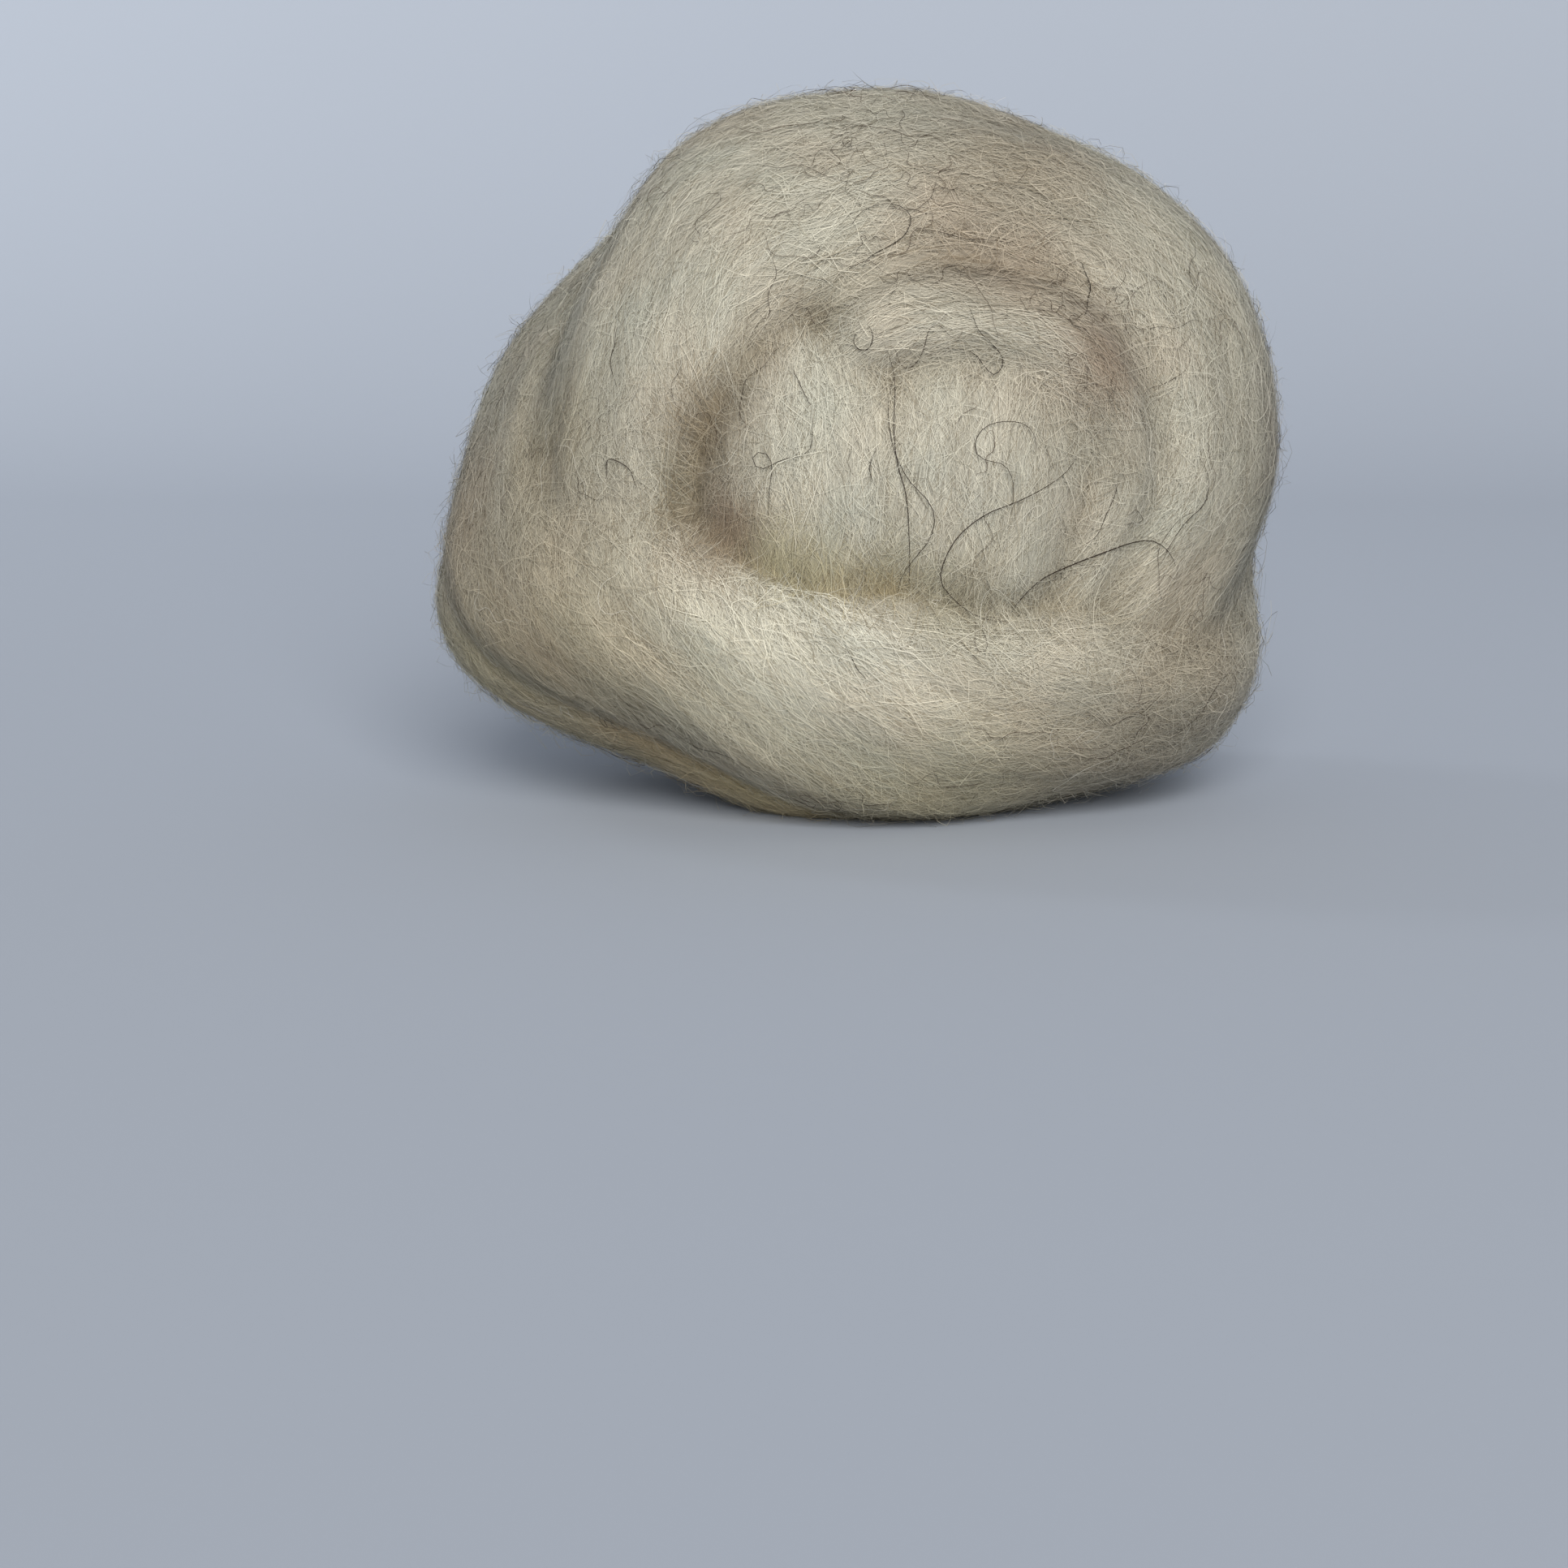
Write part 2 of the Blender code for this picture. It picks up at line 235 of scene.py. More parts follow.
# Guard hairs that show clearly, as (radius, route), each route in azimuth and elevation.
HAIRS = [
    (0.043, [(-6.6, 11.5), (-6.2, 7.2), (-6.5, 4.7), (-8.3, 3.9), (-10.8, 3.5), (-12.8, 2.3),
             (-14.2, 1.9), (-15.3, 2.8), (-15.3, 4.1), (-13.9, 4.6), (-12.6, 3.9), (-12.1, 2.0),
             (-12.7, -0.7), (-12.9, -5.8)]),
    (0.055, [(4.3, 21.1), (5.5, 18.7), (6.4, 15.0), (5.8, 8.1), (6.4, 2.3), (7.8, -1.5),
             (8.2, -7.2), (8.7, -12.5), (8.9, -17.1)]),
    (0.043, [(7.8, 18.0), (6.2, 16.5), (5.1, 13.0), (5.2, 8.2), (6.0, 4.2), (8.1, 0.0),
             (11.1, -2.6), (12.2, -5.4), (11.5, -8.8), (8.9, -12.4), (7.1, -15.6), (6.9, -18.7)]),
    (0.043, [(28.1, 3.0), (27.9, 6.2), (26.2, 8.3), (22.7, 8.9), (19.4, 8.3), (17.7, 5.9),
             (18.1, 3.8), (19.9, 3.0), (21.9, 2.8), (23.3, 1.3), (24.0, -1.2), (24.0, -5.7)]),
    (0.060, [(35.9, 3.9), (33.8, 1.1), (29.7, -1.1), (24.9, -3.1), (20.5, -4.2), (17.4, -6.0),
             (15.0, -8.3), (13.5, -11.9), (13.1, -15.0), (14.7, -17.2), (17.7, -19.6),
             (20.6, -20.7), (24.3, -21.0)]),
    (0.080, [(23.9, -20.8), (26.5, -17.6), (29.4, -15.0), (34.1, -13.6), (39.8, -11.7),
             (44.3, -10.2), (48.5, -9.4), (50.8, -10.5), (53.1, -13.4)]),
    (0.043, [(54.7, 2.3), (56.0, -1.2), (56.1, -4.3), (52.7, -6.5), (51.8, -8.9), (50.5, -13.3)]),
    (0.054, [(-37.7, -0.4), (-37.8, 3.1), (-34.6, 1.9), (-33.7, -1.6)]),
    (0.048, [(-1.2, 39.4), (1.0, 42.4), (6.8, 43.6), (11.3, 41.7), (9.9, 39.1), (7.6, 37.8),
             (2.0, 35.1), (0.9, 32.9)]),
    (0.043, [(11.1, 40.0), (19.8, 39.5), (26.0, 38.2), (32.1, 37.5)]),
    (0.054, [(13.3, 20.0), (18.8, 19.7), (20.7, 16.5), (22.1, 15.5), (24.0, 17.8), (21.9, 20.1),
             (18.8, 21.9), (18.4, 25.8)]),
    (0.060, [(41.9, 32.4), (42.1, 29.7), (41.5, 27.1), (37.4, 23.1)]),
    (0.043, [(-40.6, 22.3), (-39.5, 15.9), (-37.5, 12.7)]),
    (0.043, [(42.1, 1.3), (41.2, -3.0), (40.5, -7.4), (38.0, -10.6)]),
    (0.048, [(0.1, 23.1), (-0.6, 20.7), (1.4, 19.4), (3.0, 21.2), (1.8, 23.9)]),
    (0.043, [(-10.1, 17.4), (-7.9, 13.4), (-6.8, 11.5)]),
    (0.043, [(-1.6, -23.1), (-0.1, -25.6), (2.1, -28.2)]),
    (0.043, [(3.4, 5.5), (1.8, 2.4), (3.1, -0.8)]),
]
# Where more of the small guard hairs gather: (azimuth, elevation, spread, how many).
HAIR_TUFTS = [
    (2, 57, 21, 40), (36, 24, 10, 15), (-30, 3, 9, 5), (46, -26, 15, 12), (12, 36, 10, 10),
]
STRAY_HAIRS = 106


def srgb(red, green, blue):
    """The linear colour of an sRGB one given from 0 to 255."""
    part = np.array((red, green, blue)) / 255
    return np.where(part < 0.04045, part / 12.92, ((part + 0.055) / 1.055) ** 2.4)


def closed_curve(rows, column):
    """The column once a degree, on a smooth closed curve through the rows."""
    count, values, after = len(rows), [], 0

    def at(index):
        turns, place = divmod(index, count)
        return rows[place][0] + 360 * turns, rows[place][column]

    for degree in range(361):
        while after < count and rows[after][0] <= degree:
            after += 1
        (a0, v0), (a1, v1), (a2, v2), (a3, v3) = (at(after + step) for step in (-2, -1, 0, 1))
        span = a2 - a1
        slope1, slope2 = (v2 - v0) / (a2 - a0) * span, (v3 - v1) / (a3 - a1) * span
        t = (degree - a1) / span
        values.append(
            v1 * (2 * t**3 - 3 * t**2 + 1) + slope1 * (t**3 - 2 * t**2 + t)
            + v2 * (3 * t**2 - 2 * t**3) + slope2 * (t**3 - t**2)
        )
    return np.array(values)


def read(curve, clock):
    """A closed curve's value at a clock."""
    return np.interp(clock % 360, np.arange(361), curve)


def unit(vectors):
    return vectors / np.linalg.norm(vectors, axis=-1, keepdims=True)


OUTLINE_CURVE = closed_curve(OUTLINE, 1)
for turn in TURNS.values():
    pole = unit(np.array(turn["pole"]))
    nearest = np.array((0.0, 1.0, 0.0) if abs(pole[0]) > 0.9 else (1.0, 0.0, 0.0))
    start = unit(nearest - pole * nearest.dot(pole))
    turn.update(pole=pole, start=start, side=np.cross(pole, start))
    for column, name in enumerate(("polar", "half_width", "crown"), 1):
        turn[name] = closed_curve(turn["stations"], column)
    for column, name in enumerate(("slant", "spread"), 1):
        turn[name] = closed_curve(turn["lay"], column)
    from_seam = (turn["seam"] + np.arange(361)) % 360
    pace = np.radians(1) * DEPTH_RADIUS * np.sin(np.radians(read(turn["polar"], from_seam)))
    turn["run"] = np.cumsum(pace)
    turn["drift"] = np.cumsum(pace * np.tan(np.radians(read(turn["slant"], from_seam))))


def facing(azimuth, elevation):
    """The directions at an azimuth to the right of the front and an elevation, in degrees."""
    azimuth, elevation = np.radians(azimuth), np.radians(elevation)
    level = np.cos(elevation)
    return np.stack([level * np.sin(azimuth), -level * np.cos(azimuth), np.sin(elevation)], -1)


def degrees_from(directions, azimuth, elevation):
    return np.degrees(np.arccos(np.clip(directions @ facing(azimuth, elevation), -1, 1)))


def outline_radius(directions):
    """How far the ball's plain outline is from its middle, in each direction."""
    across = np.hypot(directions[..., 0], directions[..., 2])
    clock = np.degrees(np.arctan2(directions[..., 2], directions[..., 0]))
    side = read(OUTLINE_CURVE, clock)
    return 1 / np.sqrt((across / side) ** 2 + (directions[..., 1] / DEPTH_RADIUS) ** 2)


def noise_at(points, seed=0.0):
    """Blender's own noise, from -1 to 1, at each of the points."""
    flat = points.reshape(-1, 3) + seed
    values = np.fromiter((noise.noise(p) for p in flat.tolist()), float, len(flat))
    return values.reshape(points.shape[:-1])


def swell(directions):
    """How far the whole ball bulges or sinks in each direction."""
    return SWELL_HEIGHT * noise_at(directions * (DEPTH_RADIUS / SWELL_SIZE))


def direction_at(turn, clock, across):
    """The direction from the ball's middle at a clock and a way across the turn, in mm."""
    angle = np.radians(read(turn["polar"], clock)) + across / DEPTH_RADIUS
    turned = np.radians(clock)
    ring = (
        turn["start"] * np.cos(turned)[..., None] + turn["side"] * np.sin(turned)[..., None]
    )
    return turn["pole"] * np.cos(angle)[..., None] + ring * np.sin(angle)[..., None]


def place_on(turn, directions):
    """The clock and the way across the turn, in mm, of directions from the ball's middle."""
    clock = np.degrees(np.arctan2(directions @ turn["side"], directions @ turn["start"]))
    angle = np.arccos(np.clip(directions @ turn["pole"], -1, 1))
    return clock, (angle - np.radians(read(turn["polar"], clock))) * DEPTH_RADIUS


def height_at(turn, clock, section):
    """How high over the outline the turn's surface lies, at an angle round its section."""
    ridge = RIDGE_HEIGHT * np.cos(turn["ridges"] * section + turn["twist"] * np.radians(clock))
    thickness = turn["thickness"]
    return read(turn["crown"], clock) - thickness + (thickness + ridge) * np.cos(section)


def rise_at(turn, clock, across):
    """How high over the outline the turn's surface lies, or BESIDE it."""
    lateral = across / read(turn["half_width"], clock)
    squared = np.clip(np.abs(lateral), 0, 1) ** (1 / turn["fullness"])
    section = np.sign(lateral) * np.arcsin(squared)
    return np.where(np.abs(lateral) < 1, height_at(turn, clock, section), BESIDE)


def core_rise(directions):
    """How high the ball's inside lies over the outline: lowest in the hollow at the front."""
    from_recess = np.degrees(np.arccos(np.clip(directions @ unit(RECESS_AXIS), -1, 1)))
    return -CORE_SINK - RECESS_DEPTH * np.exp(-((from_recess / RECESS_SPREAD) ** 2))


def rises(directions):
    """Every turn's height in these directions, one row a turn, the core's last."""
    rows = [rise_at(TURNS[name], *place_on(TURNS[name], directions)) for name in NAMES[:-1]]
    return np.array([*rows, core_rise(directions)])


def owners_of(directions):
    """Which turn is outermost in each direction."""
    return np.argmax(rises(directions), axis=0)


def hollowness(directions):
    """How far each place lies under the surface round it, in mm: the creases and hollows."""
    def height(ways):
        return outline_radius(ways) + rises(ways).max(axis=0)

    aside = unit(np.cross(directions, (0.1, 0.2, 1.0)))
    beyond = np.cross(directions, aside)
    around = np.zeros(len(directions))
    bearings = np.radians(np.arange(0, 360, 45))
    for bearing in bearings:
        way = aside * math.cos(bearing) + beyond * math.sin(bearing)
        around += height(unit(directions + CREASE_REACH / DEPTH_RADIUS * way)) / len(bearings)
    return around - height(directions)


def bridging(directions):
    """How much of the crease at each place is filled by the fibres that bridge it."""
    share_there = np.zeros(len(directions))
    for azimuth, elevation, spread, share in FILLS:
        aside = degrees_from(directions, azimuth, elevation) / spread
        share_there = np.maximum(share_there, share * np.exp(-(aside**4)))
    return share_there


def strand_place(turn, directions):
    """How far along and across the turn's strands each direction lies, in mm."""
    clock, across = place_on(turn, directions)
    clock = (clock - turn["seam"]) % 360
    return read(turn["run"], clock), across - read(turn["drift"], clock)


def lock_noise(directions, owner, length, width, seed):
    """Noise drawn out along the strands: locks of about this length and width, in mm."""
    values = np.zeros(len(directions))
    for index, name in enumerate(NAMES):
        mine = owner == index
        along, across = strand_place(TURNS[name], directions[mine])
        lanes = np.stack([along / length, across / width, np.full(len(along), index * 7.0)], -1)
        values[mine] = noise_at(lanes, seed)
    return values


# ---- meshes --------------------------------------------------------------------------------
def add_object(name, data):
    obj = bpy.data.objects.new(name, data)
    bpy.context.scene.collection.objects.link(obj)
    return obj


def values_of(items, name, width=1, kind=np.float32):
    """A number or a vector from each of a mesh's items."""
    values = np.empty(len(items) * width, kind)
    items.foreach_get(name, values)
    return values.reshape(-1, width) if width > 1 else values


def points_of(mesh):
    """A mesh's points, in millimetres from the ball's middle."""
    return values_of(mesh.vertices, "co", 3).astype(float) / MM - MIDDLE


def new_mesh(name, points, triangles):
    """A smooth mesh object of triangles, given in millimetres from the ball's middle."""
    mesh = bpy.data.meshes.new(name)
    mesh.vertices.add(len(points))
    mesh.vertices.foreach_set("co", ((points + MIDDLE) * MM).astype(np.float32).ravel())
    mesh.loops.add(triangles.size)
    mesh.loops.foreach_set("vertex_index", triangles.astype(np.int32).ravel())
    mesh.polygons.add(len(triangles))
    mesh.polygons.foreach_set("loop_start", np.arange(0, triangles.size, 3, dtype=np.int32))
    mesh.update(calc_edges=True)
    mesh.polygons.foreach_set("use_smooth", np.ones(len(triangles), bool))
    return add_object(name, mesh)


def set_colours(mesh, colours):
    # the tones hold the wool's colour with painted shade in creases, gaps and patches, and painted
    # light
    attribute = mesh.color_attributes.new("wool_tone_and_shade", "FLOAT_COLOR", "POINT")
    rgba = np.ones((len(mesh.vertices), 4), np.float32)
    rgba[:, :3] = colours
    attribute.data.foreach_set("color", rgba.ravel())


def torus_grid(turn, around=220, sides=72):
    """A turn's closed surface as points and triangles."""
    clock, section = np.meshgrid(
        np.arange(around) * 360 / around, np.arange(sides) * 2 * math.pi / sides, indexing="ij"
    )
    lateral = np.sin(section)
    lateral = np.sign(lateral) * np.abs(lateral) ** turn["fullness"]
    directions = direction_at(turn, clock, read(turn["half_width"], clock) * lateral)
    radius = outline_radius(directions) + height_at(turn, clock, section) + swell(directions)
    index = np.arange(around * sides).reshape(around, sides)
    along, over = np.roll(index, -1, 0), np.roll(index, -1, 1)
    both = np.roll(along, -1, 1)
    triangles = np.concatenate([
        np.stack([index, along, both], -1).reshape(-1, 3),
        np.stack([index, both, over], -1).reshape(-1, 3),
    ])
    return (directions * radius[..., None]).reshape(-1, 3), triangles


def core_grid():
    """The ball's inside as points and triangles."""
    bpy.ops.mesh.primitive_uv_sphere_add(segments=96, ring_count=48)
    ball = bpy.context.object
    directions = unit(values_of(ball.data.vertices, "co", 3).astype(float))
    ball.data.calc_loop_triangles()
    triangles = np.array([t.vertices[:] for t in ball.data.loop_triangles])
    bpy.data.objects.remove(ball)
    return directions * (outline_radius(directions) + core_rise(directions))[:, None], triangles


def make_body():
    """The ball's soft body: its turns melted into one skin, with the relief of its locks."""
    grids = [torus_grid(TURNS[name]) for name in NAMES[:-1]] + [core_grid()]
    starts = np.cumsum([0] + [len(points) for points, _ in grids])
    points = np.concatenate([points for points, _ in grids])
    triangles = np.concatenate([t + s for (_, t), s in zip(grids, starts)])
    rough = new_mesh("rough", points, triangles)
    remesh = rough.modifiers.new("one_body", "REMESH")
    remesh.mode = "VOXEL"
    remesh.voxel_size = BODY_VOXEL * MM
    soften = rough.modifiers.new("soften", "SMOOTH")
    soften.iterations = BODY_SMOOTHING
    graph = bpy.context.evaluated_depsgraph_get()
    mesh = bpy.data.meshes.new_from_object(rough.evaluated_get(graph))
    soften.iterations = FILL_SMOOTHING
    graph.update()
    smoother = points_of(rough.evaluated_get(graph).data)
    bpy.data.objects.remove(rough)
    mesh.name = "wool_body"
    body = add_object("wool_body", mesh)

    at = points_of(mesh)
    directions = unit(at)
    owner = owners_of(directions)
    relief = sum(share * lock_noise(directions, owner, *lock) for share, *lock in RAISED_LOCKS)
    at += values_of(mesh.vertex_normals, "vector", 3) * (LOCK_RELIEF * relief)[:, None]
    # a bridged crease rises towards the same skin with its dips smoothed away
    filled = np.linalg.norm(smoother, axis=1) - np.linalg.norm(at, axis=1)
    at += directions * (bridging(directions) * np.clip(filled, 0, None))[:, None]
    at[:, 2] = np.maximum(at[:, 2], -MIDDLE[2] + BODY_GAP)
    mesh.vertices.foreach_set("co", ((at + MIDDLE) * MM).astype(np.float32).ravel())
    mesh.update()
    mesh.polygons.foreach_set("use_smooth", np.ones(len(mesh.polygons), bool))
    return body


def gained(tones, near, gain):
    """The tones with a gain on the screen, by how near each is to where it holds."""
    return tones * (1 + near[:, None] * (np.array(gain) ** SCREEN_GAMMA - 1))


def wool_colours_and_shade(directions, owner):
    """The wool's colour, with painted shade and light, in each direction, before the fibres' own
    tones.
    """
    # painted shade on the core, in the gaps between the turns
    shades = np.array([TURN_PAINTED_SHADES.get(name, (1.0, 1.0, 1.0)) for name in NAMES])
    tones = srgb(*WOOL_COLOUR) * shades[owner]
    tones = tones * (1 + TONE_DRIFT * noise_at(directions * 2.4, 5.0))[:, None]
    hue = noise_at(directions * 5.0, 11.0) + 0.6 * noise_at(directions * 11.0, 17.0)
    tones = tones * (1 + hue[:, None] * HUE_DRIFT)
    locks = sum(lock_noise(directions, owner, *lock) for lock in TINTED_LOCKS)
    tones = tones * (1 + LOCK_DRIFT * locks[:, None] * LOCK_TINT)
    # painted shade: darker and browner in the creases and hollows, less where fibres bridge them
    crease = np.clip(hollowness(directions) / CREASE_DEPTH, 0, 1)
    tones = gained(tones, crease * (1 - bridging(directions)), CREASE_SHADE_GAIN)
    # patches of the wool's own tone, of painted shade and of painted light
    for azimuth, elevation, spread, gain, turns in TONE_AND_SHADING_PATCHES:
        near = np.exp(-((degrees_from(directions, azimuth, elevation) / spread) ** 2))
        if turns:
            near = near * np.isin(owner, [NAMES.index(name) for name in turns.split()])
        tones = gained(tones, near, gain)
    return tones


# ---- materials -----------------------------------------------------------------------------
def node(tree, kind, **values):
    made = tree.nodes.new(kind)
    for name, value in values.items():
        setattr(made, name, value)
    return made


def wool_shader(name, roughness, sheen):
    material = bpy.data.materials.new(name)
    material.use_nodes = True
    shader = material.node_tree.nodes["Principled BSDF"]
    shader.inputs["Roughness"].default_value = roughness
    shader.inputs["Specular IOR Level"].default_value = 0.18
    shader.inputs["Sheen Weight"].default_value = sheen
    shader.inputs["Sheen Roughness"].default_value = 0.5
    return material, material.node_tree, shader


def body_material():
    """Streaks of lighter and darker fibre that run along the strands, with their relief."""
    material, tree, shader = wool_shader("wool_body", 0.95, 0.15)
    link = tree.links.new
    strands = node(tree, "ShaderNodeUVMap", uv_map="strands")
    tone = node(tree, "ShaderNodeAttribute", attribute_name="wool_tone_and_shade")
    streaks = []
    for along, across, detail in STREAKS:
        stretch = node(tree, "ShaderNodeMapping")
        stretch.inputs["Scale"].default_value = (along, across, 1.0)
        link(strands.outputs["UV"], stretch.inputs["Vector"])
        wool = node(tree, "ShaderNodeTexNoise")
        wool.inputs["Scale"].default_value = 1.0
        wool.inputs["Detail"].default_value = detail
        wool.inputs["Roughness"].default_value = 0.6
        link(stretch.outputs["Vector"], wool.inputs["Vector"])
        streaks.append(wool.outputs["Fac"])
    both = node(tree, "ShaderNodeMath", operation="ADD")
    link(streaks[0], both.inputs[0])
    link(streaks[1], both.inputs[1])
    shade = node(tree, "ShaderNodeMapRange")
    shade.inputs["From Min"].default_value, shade.inputs["From Max"].default_value = STREAK_RANGE
    shade.inputs["To Min"].default_value, shade.inputs["To Max"].default_value = STREAK_SHADES
    link(both.outputs[0], shade.inputs["Value"])
    colour = node(tree, "ShaderNodeMix", data_type="RGBA", blend_type="MULTIPLY")
    colour.inputs["Factor"].default_value = 1.0
    link(tone.outputs["Color"], colour.inputs["A"])
    link(shade.outputs["Result"], colour.inputs["B"])
    link(colour.outputs["Result"], shader.inputs["Base Color"])
    bump = node(tree, "ShaderNodeBump")
    bump.inputs["Strength"].default_value = 0.5
    bump.inputs["Distance"].default_value = STREAK_RELIEF * MM
    link(both.outputs[0], bump.inputs["Height"])
    link(bump.outputs["Normal"], shader.inputs["Normal"])
    return material


def fibre_material(name, roughness=0.75, sheen=0.1):
    """Each fibre in its own colour."""
    material, tree, shader = wool_shader(name, roughness, sheen)
    tone = node(tree, "ShaderNodeAttribute", attribute_name="wool_tone_and_shade")
    tree.links.new(tone.outputs["Color"], shader.inputs["Base Color"])
    return material


def dress_body(body):
    """Gives the body its strand map, its colours and its material."""
    mesh = body.data
    at = points_of(mesh)
    directions = unit(at)
    set_colours(mesh, wool_colours_and_shade(directions, owners_of(directions)))
    corners = values_of(mesh.loops, "vertex_index", kind=np.int32)
    totals = values_of(mesh.polygons, "loop_total", kind=np.int32)
    face_of_corner = np.repeat(np.arange(len(totals)), totals)
    centres = unit(values_of(mesh.polygons, "center", 3).astype(float) / MM - MIDDLE)
    owner = owners_of(centres)[face_of_corner]
    strands = np.zeros((len(corners), 2))
    for index, name in enumerate(NAMES):
        mine = owner == index
        along, across = strand_place(TURNS[name], directions[corners[mine]])
        # a face that the turn's seam crosses keeps to one side of it
        middle_along, _ = strand_place(TURNS[name], centres[face_of_corner[mine]])
        along = np.where(np.abs(along - middle_along) > SEAM_JUMP, middle_along, along)
        strands[mine] = np.stack([along + index * TURN_SHIFT, across], -1)
    layer = mesh.uv_layers.new(name="strands")
    layer.data.foreach_set("uv", strands.astype(np.float32).ravel())
    mesh.materials.clear()
    mesh.materials.append(body_material())


# ---- fibres --------------------------------------------------------------------------------
def map_cells(obj, count, faces, along, across):
    """Gives each of the mesh's fibres a cell of its own in the map."""
    cells = math.ceil(math.sqrt(count))
    place = 0.2 + 0.6 * np.stack([along, across], -1)
    origin = np.stack([np.arange(count) % cells, np.arange(count) // cells], -1)
    corner_uv = (origin[:, None, None] + place[faces][None]) / cells
    layer = obj.data.uv_layers.new(name="OFBake")
    layer.data.foreach_set("uv", corner_uv.reshape(-1).astype(np.float32))


def fibre_mesh(name, paths, outward, edges, facings, faces, colours):
    """One object of fibres that are alike, with a point at each end and edges between them.

    paths and outward are (fibres, points, 3), edges and their facings (fibres, points - 2,
    edges, 3), and faces one fibre's own.
    """
    count, length = paths.shape[:2]
    sides = edges.shape[2]

    def with_ends(ends, between):
        return np.concatenate([ends[:, :1], between.reshape(count, -1, 3), ends[:, -1:]], 1)

    points = with_ends(paths, edges)
    starts = np.arange(count) * points.shape[1]
    faces = np.array(faces)
    triangles = (faces[None] + starts[:, None, None]).reshape(-1, 3)
    obj = new_mesh(name, points.reshape(-1, 3), triangles)
    # light scatters between the fibres, so they shade as the fleece does rather than as wires
    normals = with_ends(outward, facings).reshape(-1, 3)
    obj.data.normals_split_custom_set_from_vertices(normals.tolist())
    set_colours(obj.data, np.repeat(colours, points.shape[1], axis=0))
    along = np.concatenate([[0], np.repeat(np.arange(1, length - 1), sides), [length - 1]])
    across = np.concatenate([[0.5], np.tile(np.linspace(0, 1, sides), length - 2), [0.5]])
    map_cells(obj, count, faces, along / (length - 1), across)
    return obj


def spindles(name, paths, outward, radii, colours):
    """Round fibres: closed, with three sides."""
    length = paths.shape[1]
    tangents = unit(np.gradient(paths, axis=1))
    sideways = unit(np.cross(tangents, outward) + 1e-9)
    up = np.cross(sideways, tangents)
    edges, facings = [], []
    for turned in (90, 210, 330):
        lean = math.radians(turned)
        offset = sideways[:, 1:-1] * math.cos(lean) + up[:, 1:-1] * math.sin(lean)
        edges.append(paths[:, 1:-1] + offset * radii[:, 1:-1, None])
        facings.append(unit(outward[:, 1:-1] + FIBRE_ROUNDNESS * offset))
    last = 1 + 3 * (length - 2)
    faces = [(0, 1 + k, 1 + (k + 1) % 3) for k in range(3)]
    for ring in range(length - 3):
        low = 1 + 3 * ring
        for k in range(3):
            a, b = low + k, low + (k + 1) % 3
            faces += [(a, b + 3, b), (a, a + 3, b + 3)]
    faces += [(last, last - 3 + (k + 1) % 3, last - 3 + k) for k in range(3)]
    edges, facings = np.stack(edges, 2), np.stack(facings, 2)
    return fibre_mesh(name, paths, outward, edges, facings, faces, colours)


def ribbons(name, paths, outward, radii, colours, roll=0.0):
    """Fine fibres: flat, facing outward, each rolled by up to roll degrees."""
    count, length = paths.shape[:2]
    tangents = unit(np.gradient(paths, axis=1))
    sideways = unit(np.cross(tangents, outward) + 1e-9)
    up = np.cross(sideways, tangents)
    lean = np.radians(roll) * RNG.uniform(-1, 1, (count, 1, 1))
    across = (sideways * np.cos(lean) + up * np.sin(lean))[:, 1:-1]
    half = across * radii[:, 1:-1, None]
    edges = np.stack([paths[:, 1:-1] + half, paths[:, 1:-1] - half], 2)
    lit, round_it = outward[:, 1:-1], FIBRE_ROUNDNESS * across
    facings = np.stack([unit(lit + round_it), unit(lit - round_it)], 2)
    last = 1 + 2 * (length - 2)
    faces = [(0, 1, 2)]
    for low in range(1, last - 2, 2):
        faces += [(low, low + 2, low + 3), (low, low + 3, low + 1)]
    faces.append((last - 2, last, last - 1))
    return fibre_mesh(name, paths, outward, edges, facings, faces, colours)


class Surface:
    """The body's own skin, to lay fibres on."""

    OUTSIDE = 75  # mm from the ball's middle, beyond all of it

    def __init__(self, body):
        mesh = body.data
        mesh.calc_loop_triangles()
        self.points = points_of(mesh)
        self.triangles = np.array([t.vertices[:] for t in mesh.loop_triangles])
        self.tree = BVHTree.FromPolygons(self.points.tolist(), self.triangles.tolist())
        a, b, c = (self.points[self.triangles[:, k]] for k in range(3))
        area = np.linalg.norm(np.cross(b - a, c - a), axis=1)
        self.share = np.cumsum(area) / area.sum()

    def seeds(self, count):
        """Directions of points spread evenly over the skin."""
        picked = np.searchsorted(self.share, RNG.random(count))
        a, b, c = (self.points[self.triangles[picked, k]] for k in range(3))
        s, t = RNG.random((2, count, 1))
        over = (s + t) > 1
        s, t = np.where(over, 1 - s, s), np.where(over, 1 - t, t)
        return unit(a + (b - a) * s + (c - a) * t)

    def meet(self, directions):
        """The outermost skin in each direction: its distance and its outward normal."""
        flat = directions.reshape(-1, 3)
        radius, normals = np.empty(len(flat)), np.empty((len(flat), 3))
        for index, way in enumerate(flat.tolist()):
            ray = Vector(way)
            place, normal, _, _ = self.tree.ray_cast(ray * self.OUTSIDE, -ray)
            radius[index] = place.length
            normals[index] = normal
        return radius.reshape(directions.shape[:-1]), normals.reshape(directions.shape)


